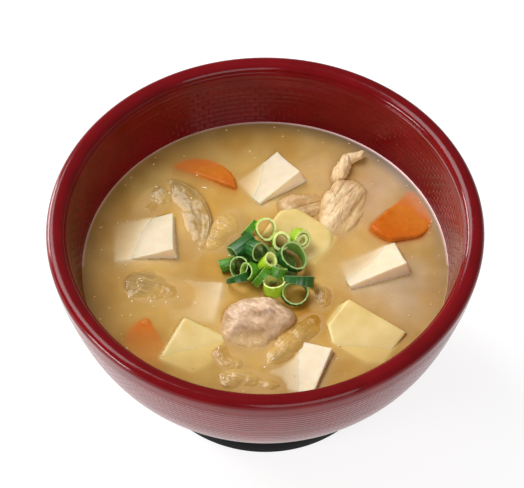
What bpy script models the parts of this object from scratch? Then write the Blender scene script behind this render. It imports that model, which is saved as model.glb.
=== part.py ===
"""A bowl of miso soup: a red lacquered bowl with a black foot, cloudy miso, and tofu, potato, carrot,
pork and onion that break its surface, under a heap of spring onion rings.

The bowl stands on Z = 0 with its axis on Z. -Y is the side towards whoever eats from it.
"""

import math

import bmesh
import bpy
from mathutils import Euler, Matrix, Vector
from mathutils.geometry import interpolate_bezier

MM = 0.001

# The bowl
RIM_RADIUS = 65.0 * MM
BOWL_HEIGHT = 67.3 * MM
LIP_BEAD = 2.08 * MM  # radius of the rolled lip
FOOT_RADIUS = 36.3 * MM  # at the bottom, which flares a little
FOOT_NECK = 34.6 * MM
FOOT_HEIGHT = 9.5 * MM
FOOT_WALL = 4.2 * MM
FOOT_RECESS = 7.0 * MM  # how far the underside lies above the table, inside the foot
FLOOR_Z = 12.5 * MM  # the lowest point of the inside
TURNS = 44  # flat sides of a turned shape

# The contents
LEVEL = 46.7 * MM  # top of the soup
GAP = 0.3 * MM  # between pieces that lie against each other

PARTS = "miso_soup"
CUTTERS = "cutters"
ROOMS = "room_for_pieces"  # the cutters that together hollow the soup

COLOURS = {
    "lacquer": ((0.26, 0.012, 0.017), 0.22),
    "broth": ((0.62, 0.38, 0.13), 0.25),
    "tofu": ((0.93, 0.80, 0.60), 0.45),
    "potato": ((0.80, 0.58, 0.20), 0.45),
    "carrot": ((0.75, 0.22, 0.03), 0.40),
    "pork": ((0.52, 0.33, 0.21), 0.50),
    "onion": ((0.62, 0.46, 0.24), 0.30),
    "spring_onion": ((0.12, 0.38, 0.03), 0.35),
}

# Squared pieces: size, centre and turn. Sizes and centres are in millimetres and turns in degrees about
# X, Y and Z. Only the upper parts of most of them show, so near the wall they are cut thinner.
TOFU = [
    ((16.2, 12.6, 14.6), (3.4, 32.0, 41.0), (-16, -13, 38)),
    ((18.4, 15.4, 14.4), (-34.5, 9.4, 40.1), (-9, -17, 4)),
    ((18.4, 11.6, 13.4), (33.9, -1.6, 41.2), (-20, -9, 21)),
    ((15.4, 17.0, 9.0), (10.7, -36.6, 42.2), (4, -11, -21)),
    ((15.0, 14.4, 14.0), (-19.3, -11.3, 38.2), (5, -9, -11)),
]

# Potato chunks are blocks with corners sliced off: each slice is a point on the plane, as a share of the
# half size, and the way it faces.
POTATO = [
    (
        (15.0, 16.5, 12.0),
        (-21.6, -29.2, 40.8),
        (5, 5, -27),
        [((1.0, -0.6, 0.0), (0.8, -0.5, 0.2)), ((-0.9, -0.9, -0.9), (-0.7, -0.7, -0.8))],
    ),
    (
        (22.5, 15.5, 12.0),
        (28.4, -24.2, 41.3),
        (6, 3, -34),
        [
            ((-0.86, 0.0, 0.95), (-0.75, 0.0, 0.65)),
            ((-0.7, -0.75, 0.0), (-0.7, -0.7, 0.1)),
            ((0.75, -1.0, 0.0), (0.55, -0.8, 0.1)),
            ((-0.92, 0.8, 0.0), (-0.8, 0.6, 0.0)),
            ((0.9, 0.0, -0.7), (0.7, -0.2, -0.7)),
        ],
    ),
    (
        (20.0, 14.5, 12.0),
        (10.4, 11.8, 42.2),
        (4, 8, -33),
        [((-0.75, 1.0, 0.4), (-0.6, 0.6, 0.3)), ((0.75, 0.6, 1.0), (0.35, 0.25, 0.9))],
    ),
]

# Carrot slices are discs of one root, sliced the same way.
CARROT = [
    ((12.6, 6.0), (-20.6, 29.0, 44.5), (-5, -4, -27.6), [((0.0, 0.34, 0.0), (0.05, -1.0, 0.1))]),
    (
        (10.8, 5.0),
        (40.5, 18.8, 44.7),
        (-6, 5, 0),
        [
            ((0.74, 0.22, 0.0), (0.93, 0.33, -0.35)),
            ((0.66, 0.44, 0.0), (0.84, 0.52, -0.35)),
            ((-0.30, 0.245, 0.0), (-0.77, 0.635, 0.15)),
            ((0.155, -0.86, 0.0), (0.175, -0.985, 0.0)),
        ],
    ),
]

# Pork: slices folded up by the heat, each one lump or several that have grown together. A lump has radii,
# a centre, a turn, and the depth and number of its folds.
PORK = [
    [
        ((11.6, 7.4, 4.2), (22.4, 22.0, 46.0), (13, -3, 60), 0.10, 3),
        ((8.0, 5.8, 3.0), (12.6, 22.4, 45.8), (4, 6, 20), 0.06, 2),
        ((5.6, 3.2, 2.8), (24.0, 37.0, 47.4), (0, -14, 50), 0.08, 2),
    ],
    [((12.0, 10.2, 5.2), (-3.6, -22.0, 45.4), (9, -4, 14), 0.08, 2)],
]

# Onion petals: four points that the middle line passes, how far the petal reaches to the left and right
# of it, how high its start, middle and end lie above the soup, and how far its left and right edges fall.
ONION = [
    (((17.8, -18.0), (12.4, -22.6), (6.4, -29.4), (-0.6, -36.6)), (4.6, 4.6), (0.5, 1.1, 0.5), (0.9, 1.0)),
    (((-13.5, -39.4), (-7.0, -41.0), (0.0, -42.6), (7.0, -44.2)), (4.2, 4.8), (0.7, 0.6, 0.3), (0.7, 0.7)),
    (((-12.2, -26.4), (-12.0, -30), (-10.6, -33), (-8.4, -35.0)), (4.4, 3.8), (0.4, 0.5, 0.2), (0.7, 0.6)),
    (((-41.6, -6.0), (-36.0, -7.6), (-29.0, -9.6), (-21.5, -12.4)), (6.2, 5.6), (1.2, 1.5, 0.0), (1.7, 1.6)),
    (((-29.5, 32.4), (-20.4, 25.4), (-17.4, 14.5), (-21.0, 2.0)), (0.9, 7.4), (0.5, 0.7, 0.1), (0.3, 1.1)),
    (((-30.4, 28.4), (-33.2, 25.0), (-36.0, 21.5), (-39.0, 17.5)), (4.6, 4.8), (0.6, 0.2, -0.5), (0.7, 0.7)),
    (((-17.6, 5.5), (-16.6, 11.0), (-14.0, 17.0), (-7.6, 22.0)), (1.8, 8.8), (0.3, 0.7, 0.3), (1.5, 0.8)),
    (((16.6, -6.5), (17.0, -10.0), (16.6, -13.0), (15.8, -15.6)), (3.6, 3.6), (0.2, 0.4, 0.1), (0.7, 0.7)),
]
PETAL_THICKNESS = 1.5 * MM

# Spring onion rings: centre, outer radius, length, how far the axis leans from upright and its heading.
RINGS = [
    ((0.1, 10.1, 51.7), 3.3, 3.0, 40, -70),
    ((4.7, 5.9, 51.2), 2.8, 4.0, 35, -80),
    ((10.4, 7.4, 50.2), 3.0, 4.5, 50, -60),
    ((-4.5, 11.0, 50.2), 3.0, 2.5, 70, 150),
    ((-6.9, 4.2, 51.2), 2.5, 7.8, 85, 40),
    ((-2.4, 1.6, 52.2), 3.2, 3.5, 60, -50),
    ((-7.5, -2.8, 50.2), 3.1, 3.0, 45, -115),
    ((-11.4, -0.8, 48.4), 1.9, 4.4, 80, 10),
    ((-8.1, -6.4, 49.0), 3.7, 2.0, 55, 108),
    ((-4.2, -4.7, 50.2), 2.8, 4.0, 60, 200),
    ((0.8, -3.2, 52.7), 2.4, 4.0, 30, 0),
    ((-1.0, -6.9, 50.7), 3.2, 2.5, 67, 145),
    ((2.6, -9.5, 49.6), 3.6, 4.0, 20, 90),
    ((8.0, -0.3, 51.2), 4.3, 3.5, 25, -20),
    ((3.5, -5.4, 51.2), 2.6, 3.5, 50, 60),
    ((9.8, -7.6, 49.8), 4.4, 2.6, 54, 81),
    ((8.9, -11.9, 49.0), 3.9, 2.5, 20, -60),
]
RING_SIDES = 8
HEAP_RADII = (12.5, 9.6, 4.2)  # the mound that the rings lie on
HEAP_CENTRE = (0.6, 0.0, 46.6)


def clear_scene():
    for obj in list(bpy.data.objects):
        bpy.data.objects.remove(obj, do_unlink=True)


def add_collection(name, parent):
    made = bpy.data.collections.new(name)
    parent.children.link(made)
    return made


def material(name):
    colour, roughness = COLOURS[name]
    made = bpy.data.materials.get(name)
    if made is None:
        made = bpy.data.materials.new(name)
        made.use_nodes = True
        shader = made.node_tree.nodes["Principled BSDF"]
        shader.inputs["Base Color"].default_value = (*colour, 1.0)
        shader.inputs["Roughness"].default_value = roughness
        shader.inputs["Metallic"].default_value = 0.0
    return made


def in_metres(values):
    return Vector(values) * MM


def pose(centre, turn=(0, 0, 0)):
    """Where a piece lies, from its centre in millimetres and its turn in degrees."""
    angles = Euler([math.radians(angle) for angle in turn])
    return Matrix.LocRotScale(in_metres(centre), angles, None)


def add_object(name, mesh, look=None, smooth=None, group=CUTTERS):
    """An object in the parts, or a cutter if it has no look. Edges sharper than smooth stay sharp."""
    obj = bpy.data.objects.new(name, mesh)
    if look:
        bpy.data.collections[PARTS].objects.link(obj)
        mesh.materials.append(material(look))
    else:
        bpy.data.collections[group].objects.link(obj)
        obj.hide_render = True
        obj.display_type = "WIRE"
    if smooth:
        mesh.shade_smooth()
        mesh.set_sharp_from_angle(angle=math.radians(smooth))
    return obj


def to_mesh(bm, name):
    mesh = bpy.data.meshes.new(name)
    bmesh.ops.recalc_face_normals(bm, faces=bm.faces)
    bm.to_mesh(mesh)
    bm.free()
    return mesh


def curve_points(start, towards, back, end, steps):
    """Points of a cubic curve in the profile's plane, without the last one."""
    flat = [Vector((r, z, 0.0)) * MM for r, z in (start, towards, back, end)]
    return [(p.x, p.y) for p in interpolate_bezier(*flat, steps + 1)[:-1]]


# ---- the bowl and the soup


def inner_wall():
    """The inside from the middle of the floor up to the ledge under the lip."""
    floor = FLOOR_Z / MM
    low = curve_points((0.0, floor), (24.0, floor), (38.5, 19.5), (49.3, 33.9), 5)
    high = curve_points((49.3, 33.9), (55.2, 42.7), (56.9, 55.0), (58.9, 64.9), 4)
    return low + high + [(58.9 * MM, 64.9 * MM)]


def lip():
    """A narrow ledge, then the lip, flat inside and rolled outside."""
    top = BOWL_HEIGHT / MM
    middle = RIM_RADIUS - LIP_BEAD
    ledge = [(59.4 * MM, 65.2 * MM)]
    crown = curve_points((59.6, 66.3), (59.9, top), (61.4, top), (middle / MM, top), 3)
    bead = []
    for degrees in (90, 66, 42, 18, -15):
        angle = math.radians(degrees)
        bead.append(
            (middle + LIP_BEAD * math.cos(angle), BOWL_HEIGHT - LIP_BEAD + LIP_BEAD * math.sin(angle))
        )
    return ledge + crown + bead


def outer_wall():
    neck = (FOOT_NECK / MM, FOOT_HEIGHT / MM)
    high = curve_points((64.3, 60.3), (61.8, 50.6), (59.2, 39.0), (53.3, 30.9), 4)
    low = curve_points((53.3, 30.9), (48.6, 24.5), (40.6, 15.0), neck, 4)
    return high + low


def foot():
    """The foot ring from its neck down to the table, and the recess inside it."""
    inside = FOOT_RADIUS - FOOT_WALL
    edge = 0.5 * MM
    return [
        (FOOT_NECK, FOOT_HEIGHT),
        (FOOT_RADIUS, edge),
        (FOOT_RADIUS - edge, 0.0),
        (inside + edge, 0.0),
        (inside, edge),
        (inside - 1.2 * MM, FOOT_RECESS),
        (0.0, FOOT_RECESS),
    ]


def turned(name, profile, look, smooth):
    """A profile from the axis, up and over, and down its outer side back to the axis, turned about Z."""
    mesh = bpy.data.meshes.new(name)
    edges = [(i, i + 1) for i in range(len(profile) - 1)]
    mesh.from_pydata([(r, 0.0, z) for r, z in profile], edges, [])
    obj = add_object(name, mesh, look)
    screw = obj.modifiers.new("turn", "SCREW")
    screw.axis = "Z"
    screw.angle = math.tau
    screw.steps = TURNS
    screw.render_steps = TURNS
    screw.use_merge_vertices = True
    screw.merge_threshold = 0.01 * MM
    screw.use_smooth_shade = smooth
    return obj


def make_bowl():
    return turned("bowl", inner_wall() + lip() + outer_wall() + foot(), "lacquer", smooth=True)


def soup_side():
    """The inner wall moved in by the gap, from the floor up to the level of the soup."""
    wall = inner_wall()
    side = []
    for (r0, z0), (r1, z1), (r2, z2) in zip(wall, wall[1:], wall[2:]):
        along = Vector((r2 - r0, z2 - z0)).normalized()
        side.append((r1 - along.y * GAP, z1 + along.x * GAP))
    below = [point for point in side if point[1] < LEVEL - GAP]
    (r0, z0), (r1, z1) = below[-1], side[len(below)]
    brim = r0 + (r1 - r0) * (LEVEL - z0) / (z1 - z0)
    return below + [(brim, LEVEL)]


def make_soup():
    bottom_to_brim = [(0.0, FLOOR_Z + GAP)] + soup_side()
    over_and_down = [(0.0, LEVEL)] + bottom_to_brim[::-1]
    return turned("soup", over_and_down, "broth", smooth=False)


# ---- squared and sliced pieces


def block_stock(size):
    bm = bmesh.new()
    bmesh.ops.create_cube(bm, size=1.0)
    bmesh.ops.scale(bm, vec=in_metres(size), verts=bm.verts)
    return bm


def disc_stock(radius, thickness):
    bm = bmesh.new()
    bmesh.ops.create_cone(
        bm,
        cap_ends=True,
        segments=16,
        radius1=radius * MM,
        radius2=radius * 0.94 * MM,
        depth=thickness * MM,
    )
    return bm


def slice_off(bm, point, facing):
    """One cut of the knife: takes away what lies beyond the plane and closes the cut."""
    cut = bmesh.ops.bisect_plane(
        bm,
        geom=bm.verts[:] + bm.edges[:] + bm.faces[:],
        plane_co=point,
        plane_no=facing,
        clear_outer=True,
    )
    rim = [item for item in cut["geom_cut"] if isinstance(item, bmesh.types.BMEdge)]
    bmesh.ops.edgeloop_fill(bm, edges=rim)


def sliced(name, bm, half, cuts, look, edge, centre, turn):
    """A piece cut from stock, its edges rounded off by edge millimetres."""
    for share, facing in cuts:
        point = Vector([h * s for h, s in zip(half, share)]) * MM
        slice_off(bm, point, Vector(facing).normalized())
    obj = add_object(name, to_mesh(bm, name), look, smooth=50)
    obj.matrix_world = pose(centre, turn)
    bevel = obj.modifiers.new("rounded edges", "BEVEL")
    bevel.width = edge * MM
    bevel.segments = 1
    bevel.limit_method = "ANGLE"
    bevel.angle_limit = math.radians(35)
    return obj


def make_tofu():
    return [
        sliced(f"tofu_{n}", block_stock(size), (0, 0, 0), [], "tofu", 0.5, centre, turn)
        for n, (size, centre, turn) in enumerate(TOFU, 1)
    ]


def make_potatoes():
    made = []
    for n, (size, centre, turn, cuts) in enumerate(POTATO, 1):
        half = [side / 2 for side in size]
        name = f"potato_{n}"
        made.append(sliced(name, block_stock(size), half, cuts, "potato", 1.0, centre, turn))
    return made


def make_carrots():
    made = []
    for n, ((radius, thickness), centre, turn, cuts) in enumerate(CARROT, 1):
        half = (radius, radius, thickness / 2)
        stock = disc_stock(radius, thickness)
        name = f"carrot_{n}"
        made.append(sliced(name, stock, half, cuts, "carrot", 0.5, centre, turn))
    return made


# ---- pork


def folded_lump(name, radii, centre, turn, fold_depth, folds, look="pork"):
    """A rumpled slice as one lump: folds run along X, and it is squarer than an egg."""
    bm = bmesh.new()
    bmesh.ops.create_uvsphere(bm, u_segments=12, v_segments=7, radius=1.0)
    for vert in bm.verts:
        x, y, z = vert.co
        squarer = 1.0 + 0.16 * (x * x * y * y) * 4.0
        ripple = 1.0 + fold_depth * math.cos(folds * math.pi * y + 0.9 * x)
        vert.co = Vector(
            (x * squarer * radii[0], y * squarer * radii[1], z * ripple * radii[2])
        ) * MM
    bmesh.ops.triangulate(bm, faces=bm.faces)
    obj = add_object(name, to_mesh(bm, name), look, smooth=60)
    obj.matrix_world = pose(centre, turn)
    return obj


def make_pork():
    """For each slice, its lumps. The first of them is the slice and the others are joined to it later."""
    slices = []
    for n, (first, *others) in enumerate(PORK, 1):
        lumps = [folded_lump(f"pork_{n}", *first)]
        lumps += [folded_lump(f"pork_{n}_end_{m}", *end, look=None) for m, end in enumerate(others, 1)]
        slices.append(lumps)
    return slices


# ---- onion


def through(values, t):
    """The value at t of a smooth run that passes its values at even steps from 0 to 1."""
    place = t * (len(values) - 1)
    total = 0.0
    for n, value in enumerate(values):
        share = 1.0
        for m in range(len(values)):
            if m != n:
                share *= (place - m) / (n - m)
        total += share * value
    return total


def make_onion(name, line, reach, heights, falls):
    """A petal that follows its line over the soup, with its edges bent down and its ends drawn in."""
    xs, ys = zip(*line)
    step = 0.01
    bm = bmesh.new()
    bmesh.ops.create_grid(bm, x_segments=6, y_segments=4, size=1.0)
    for vert in bm.verts:
        t = (vert.co.x + 1.0) / 2.0
        ahead = Vector([through(way, t + step) - through(way, t - step) for way in (xs, ys)]).normalized()
        side = (reach[0] - reach[1] + vert.co.y * (reach[0] + reach[1])) / 2.0
        half = 0 if side > 0.0 else 1
        fall = falls[half] * (abs(side) / reach[half]) ** 1.8
        side *= 1.0 - 0.55 * abs(2.0 * t - 1.0) ** 4
        x = through(xs, t) - ahead.y * side
        y = through(ys, t) + ahead.x * side
        vert.co = Vector((x, y, LEVEL / MM + through(heights, t) - fall)) * MM
    bmesh.ops.triangulate(bm, faces=bm.faces)
    obj = add_object(name, to_mesh(bm, name), "onion", smooth=50)
    thicken = obj.modifiers.new("thickness", "SOLIDIFY")
    thicken.thickness = PETAL_THICKNESS
    thicken.offset = -1.0
    return obj


def make_onions():
    return [make_onion(f"onion_{n}", *petal) for n, petal in enumerate(ONION, 1)]


# ---- the heap of spring onion


def ring_pose(centre, lean, heading):
    """Stands a ring's axis, which starts upright, at its lean and heading."""
    turn = Euler((0.0, math.radians(lean), math.radians(heading)))
    return Matrix.LocRotScale(in_metres(centre), turn, None)


def make_heap():
    """The heap out to its uneven outline: a low mound and the full width of every ring."""
    bm = bmesh.new()
    bmesh.ops.create_uvsphere(bm, u_segments=12, v_segments=6, radius=1.0)
    bmesh.ops.scale(bm, vec=in_metres(HEAP_RADII), verts=bm.verts)
    bmesh.ops.translate(bm, vec=in_metres(HEAP_CENTRE), verts=bm.verts)
    heap = add_object("spring_onion", to_mesh(bm, "spring_onion"), "spring_onion", smooth=40)
    for n, (centre, radius, length, lean, heading) in enumerate(RINGS, 1):
        bm = bmesh.new()
        bmesh.ops.create_cone(
            bm,
            cap_ends=True,
            segments=RING_SIDES,
            radius1=radius * MM,
            radius2=radius * MM,
            depth=length * MM,
            matrix=ring_pose(centre, lean, heading),
        )
        ring = add_object(f"ring_{n}", to_mesh(bm, f"ring_{n}"))
        boolean(heap, ring, "UNION")
    trim = add_object("under_the_heap", to_mesh(block_stock((60, 60, 20)), "under_the_heap"))
    trim.location.z = LEVEL + GAP - 10 * MM
    boolean(heap, trim, "DIFFERENCE")
    return heap


# ---- how the pieces make room for each other


def boolean(obj, other, operation):
    step = obj.modifiers.new(f"{operation.lower()} {other.name}", "BOOLEAN")
    step.operation = operation
    step.solver = "EXACT"
    step.object = other


def room_for(obj):
    """A cutter in the shape of a whole piece as it lies, bigger by the gap all round."""
    seen = obj.evaluated_get(bpy.context.evaluated_depsgraph_get())
    shape = bpy.data.meshes.new_from_object(seen)
    shape.transform(obj.matrix_world)
    cutter = add_object(f"room_for_{obj.name}", shape, group=ROOMS)
    swell = cutter.modifiers.new("gap", "DISPLACE")
    swell.strength = GAP
    swell.mid_level = 0.0
    return cutter


# What each piece was laid down against. It gives way to these.
LIES_AGAINST = {
    "potato_3": ["tofu_1"],
    "carrot_1": ["tofu_1"],
    "carrot_2": ["tofu_3"],
    "pork_1": ["tofu_1", "potato_3"],
    "pork_2": ["tofu_4", "tofu_5", "potato_1"],
    "onion_1": ["pork_2", "tofu_4", "potato_2"],
    "onion_2": ["tofu_4"],
    "onion_3": ["pork_2", "potato_1", "onion_2"],
    "onion_4": ["tofu_5", "tofu_2"],
    "onion_5": ["tofu_2", "carrot_1"],
    "onion_6": ["tofu_2", "onion_5"],
    "onion_7": ["onion_5", "tofu_2", "tofu_1"],
    "onion_8": ["pork_2", "potato_2", "onion_1"],
    "spring_onion": ["potato_3", "pork_2", "onion_7", "onion_8"],
}


def main():
    clear_scene()
    top = bpy.context.scene.collection
    add_collection(PARTS, top)
    add_collection(ROOMS, add_collection(CUTTERS, top))
    make_bowl()
    soup = make_soup()
    pork = make_pork()
    ends = [end for lumps in pork for end in lumps[1:]]
    sunk = make_tofu() + make_potatoes() + make_carrots() + [lumps[0] for lumps in pork] + make_onions()
    heap = make_heap()
    rooms = {obj.name: room_for(obj) for obj in sunk + ends}
    for first, *others in pork:
        for end in others:
            boolean(first, end, "UNION")
    for obj in sunk + [heap]:
        for neighbour in LIES_AGAINST.get(obj.name, []):
            boolean(obj, rooms[neighbour], "DIFFERENCE")
    hollow = soup.modifiers.new("room for the pieces", "BOOLEAN")
    hollow.operation = "DIFFERENCE"
    hollow.solver = "EXACT"
    hollow.operand_type = "COLLECTION"
    hollow.collection = bpy.data.collections[ROOMS]


main()
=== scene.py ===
"""Looks of the bowl of miso soup: red woven lacquer, cloudy soup, and what breaks its surface or shows
through it, under a heap of spring onion rings.

Lengths are in metres unless a table says millimetres. The bowl stands on Z = 0 with its axis on Z, and
-Y is the side towards whoever eats from it.
"""

import math

import bpy
import numpy as np
from mathutils import Euler, Matrix, Vector, noise
from mathutils.bvhtree import BVHTree


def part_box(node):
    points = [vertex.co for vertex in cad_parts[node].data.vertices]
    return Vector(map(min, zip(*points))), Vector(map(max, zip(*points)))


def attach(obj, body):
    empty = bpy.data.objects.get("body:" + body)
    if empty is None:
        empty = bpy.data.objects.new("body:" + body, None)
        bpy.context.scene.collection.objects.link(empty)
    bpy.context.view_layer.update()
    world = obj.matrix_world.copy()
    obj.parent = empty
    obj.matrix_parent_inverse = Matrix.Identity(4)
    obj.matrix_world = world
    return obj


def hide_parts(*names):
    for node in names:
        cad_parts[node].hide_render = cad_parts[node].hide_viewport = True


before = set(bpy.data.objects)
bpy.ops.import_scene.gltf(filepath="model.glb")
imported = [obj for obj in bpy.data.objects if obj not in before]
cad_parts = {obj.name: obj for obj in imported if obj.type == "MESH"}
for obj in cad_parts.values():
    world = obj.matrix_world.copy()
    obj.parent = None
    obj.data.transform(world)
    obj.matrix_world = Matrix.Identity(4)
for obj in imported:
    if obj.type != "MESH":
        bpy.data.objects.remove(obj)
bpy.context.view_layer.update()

MM = 0.001
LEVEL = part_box("soup")[1].z
BOWL_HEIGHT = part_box("bowl")[1].z
RIM_RADIUS = 65.0 * MM
LIP_BEAD = 2.08 * MM
FOOT_HEIGHT = 9.5 * MM


# ---- working with meshes


def pose(centre, turn=(0, 0, 0)):
    """Where a piece lies, from its centre in millimetres and its turn in degrees."""
    angles = Euler([math.radians(angle) for angle in turn])
    return Matrix.LocRotScale(Vector(centre) * MM, angles, None)


def only(piece):
    """Makes piece the one selected object."""
    if bpy.context.object and bpy.context.object.mode != "OBJECT":
        bpy.ops.object.mode_set(mode="OBJECT")
    bpy.ops.object.select_all(action="DESELECT")
    piece.select_set(True)
    bpy.context.view_layer.objects.active = piece


def named(name):
    """Names the primitive that was just added."""
    piece = bpy.context.object
    piece.name = piece.data.name = name
    only(piece)
    return piece


def edit(piece):
    only(piece)
    bpy.ops.object.mode_set(mode="EDIT")
    bpy.ops.mesh.select_all(action="SELECT")


def done():
    bpy.ops.object.mode_set(mode="OBJECT")


def modify(piece, kind, **settings):
    """Adds a modifier and applies it."""
    only(piece)
    step = piece.modifiers.new(kind.lower(), kind)
    for key, value in settings.items():
        setattr(step, key, value)
    bpy.ops.object.modifier_apply(modifier=step.name)


def lay_down(piece, matrix):
    """Moves a piece from the origin to where it lies, and leaves its place in its mesh."""
    only(piece)
    piece.matrix_world = matrix
    bpy.ops.object.transform_apply(location=True, rotation=True, scale=True)


def points_of(piece):
    co = np.empty(len(piece.data.vertices) * 3, np.float32)
    piece.data.vertices.foreach_get("co", co)
    return co.reshape(-1, 3).astype(float)


def set_points(piece, co):
    piece.data.vertices.foreach_set("co", co.astype(np.float32).ravel())
    piece.data.update()


def normals_of(piece):
    no = np.empty(len(piece.data.vertices) * 3, np.float32)
    piece.data.vertices.foreach_get("normal", no)
    return no.reshape(-1, 3).astype(float)


def noise_at(co, scale, seed):
    """Smooth noise about zero at each point. scale is the size of its waves, in metres per axis."""
    scale = np.broadcast_to(np.asarray(scale, float), 3)
    shifted = co / scale + np.array([seed * 7.3, seed * 3.1, seed * 5.7])
    return np.array([noise.noise(Vector(p)) for p in shifted])


def rumple(piece, height, scale, seed):
    """Moves the surface in and out along its normals."""
    co = points_of(piece)
    set_points(piece, co + normals_of(piece) * (height * noise_at(co, scale, seed))[:, None])


def paint(piece, colours):
    """Stores one colour per vertex, which the piece's material reads."""
    tint = piece.data.attributes.new("Tint", "FLOAT_COLOR", "POINT")
    rgba = np.ones((len(colours), 4), np.float32)
    rgba[:, :3] = colours
    tint.data.foreach_set("color", rgba.ravel())


def smooth(piece, degrees=180):
    only(piece)
    bpy.ops.object.shade_smooth_by_angle(angle=math.radians(degrees))


CLING = 1.2 * MM  # height over which the soup that clings to a piece thins out
# height over which the film on upright sides thins out; on tofu and potato that film is painted light on their shaded
# sides
CLING_AND_LIGHT_ON_SIDES = 5 * MM


def store(piece, name, values):
    layer = piece.data.attributes.new(name, "FLOAT", "POINT")
    layer.data.foreach_set("value", values.astype(np.float32))


def wet_and_lit_sides(piece, share, reach, on_sides_lit):
    """Stores how much soup film covers each vertex: share at the surface of the soup, thinning out over the
    height reach, and on_sides_lit on what stands upright. Where a look mixes in the lit soup film, this
    film is also painted light on the shaded sides."""
    co, no = points_of(piece), normals_of(piece)
    ragged = 1 + 0.5 * noise_at(co, 1.5 * MM, 5)
    height = np.clip(co[:, 2] - LEVEL, 0, None)
    steep = np.clip(1 - no[:, 2] / 0.8, 0, 1)
    film = share * np.exp(-height / (reach * ragged))
    film = np.maximum(film, on_sides_lit * steep * np.exp(-height / (CLING_AND_LIGHT_ON_SIDES * ragged)))
    store(piece, "FilmAndLight", film)


def joined(pieces):
    """Joins pieces into the first of them."""
    only(pieces[0])
    for piece in pieces[1:]:
        piece.select_set(True)
    bpy.ops.object.join()
    return bpy.context.object


def finish_piece(piece, slot, material, *nodes):
    piece.data.materials.clear()
    piece.data.materials.append(material)
    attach(piece, "root")
    if nodes:
        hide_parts(*nodes)


# ---- materials


class Look:
    """A material being put together: its nodes, its links and its shader."""

    def __init__(self, name, roughness, specular=0.5):
        self.material = bpy.data.materials.new(name)
        self.material.use_nodes = True
        self.tree = self.material.node_tree
        self.shader = self.tree.nodes["Principled BSDF"]
        self.set("Roughness", roughness)
        self.set("Specular IOR Level", specular)
        self.place = self.add("ShaderNodeTexCoord").outputs["Object"]

    def add(self, kind, **settings):
        node = self.tree.nodes.new(kind)
        for key, value in settings.items():
            setattr(node, key, value)
        return node

    def join(self, source, target):
        self.tree.links.new(source, target)

    def set(self, socket, value):
        self.shader.inputs[socket].default_value = value

    def stretched(self, size, turn=(0, 0, 0)):
        """The place on the piece, stretched so that a pattern has this size per axis, in metres."""
        mapping = self.add("ShaderNodeMapping")
        mapping.inputs["Scale"].default_value = [1.0 / s for s in size]
        turned = self.add("ShaderNodeMapping")
        turned.inputs["Rotation"].default_value = [math.radians(t) for t in turn]
        self.join(self.place, turned.inputs["Vector"])
        self.join(turned.outputs["Vector"], mapping.inputs["Vector"])
        return mapping.outputs["Vector"]

    def noise(self, size, detail=3.0, turn=(0, 0, 0)):
        size = size if isinstance(size, tuple) else (size,) * 3
        node = self.add("ShaderNodeTexNoise")
        node.inputs["Scale"].default_value = 1.0
        node.inputs["Detail"].default_value = detail
        self.join(self.stretched(size, turn), node.inputs["Vector"])
        return node.outputs["Fac"]

    def ramp(self, factor, *stops):
        """Colours or greys at places from 0 to 1 along the factor."""
        node = self.add("ShaderNodeValToRGB")
        elements = node.color_ramp.elements
        while len(elements) < len(stops):
            elements.new(0.5)
        for element, (place, colour) in zip(elements, stops):
            element.position = place
            element.color = (*colour, 1.0) if isinstance(colour, tuple) else (colour, colour, colour, 1.0)
        self.join(factor, node.inputs["Fac"])
        return node.outputs["Color"]

    def mix(self, factor, a, b, blend="MIX"):
        node = self.add("ShaderNodeMix", data_type="RGBA", blend_type=blend)
        for socket, value in ((node.inputs[0], factor), (node.inputs[6], a), (node.inputs[7], b)):
            if isinstance(value, bpy.types.NodeSocket):
                self.join(value, socket)
            elif isinstance(value, tuple):
                socket.default_value = (*value, 1.0)
            else:
                socket.default_value = value
        return node.outputs[2]

    def math(self, operation, a, b=0.0):
        node = self.add("ShaderNodeMath", operation=operation)
        for socket, value in zip(node.inputs, (a, b)):
            if isinstance(value, bpy.types.NodeSocket):
                self.join(value, socket)
            else:
                socket.default_value = value
        return node.outputs[0]

    def colour(self, source):
        self.join(source, self.shader.inputs["Base Color"])

    def roughness(self, factor, low, high):
        node = self.add("ShaderNodeMapRange")
        node.inputs["To Min"].default_value = low
        node.inputs["To Max"].default_value = high
        self.join(factor, node.inputs["Value"])
        self.join(node.outputs["Result"], self.shader.inputs["Roughness"])

    def glow_within(self, weight, depth):
        """Light that enters the piece and leaves it again up to this far away, red the furthest."""
        self.set("Subsurface Weight", weight)
        self.set("Subsurface Radius", (1.0, 0.62, 0.30))
        self.set("Subsurface Scale", depth)

    def bump(self, *layers):
        """Relief from (factor, height in metres) layers, one over the other."""
        below = None
        for factor, height in layers:
            node = self.add("ShaderNodeBump")
            node.inputs["Strength"].default_value = 1.0
            node.inputs["Distance"].default_value = height
            self.join(factor, node.inputs["Height"])
            if below:
                self.join(below, node.inputs["Normal"])
            below = node.outputs["Normal"]
        self.join(below, self.shader.inputs["Normal"])


def tint_of(look):
    return look.add("ShaderNodeAttribute", attribute_name="Tint").outputs["Color"]


LACQUER = (0.155, 0.002, 0.0045)
LACQUER_DEEP = (0.118, 0.0012, 0.0025)
JOIN_COUNT = 112  # faint upright joins round the walls
ROW_PITCH = 1.7 * MM  # height of one row of the weave


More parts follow.
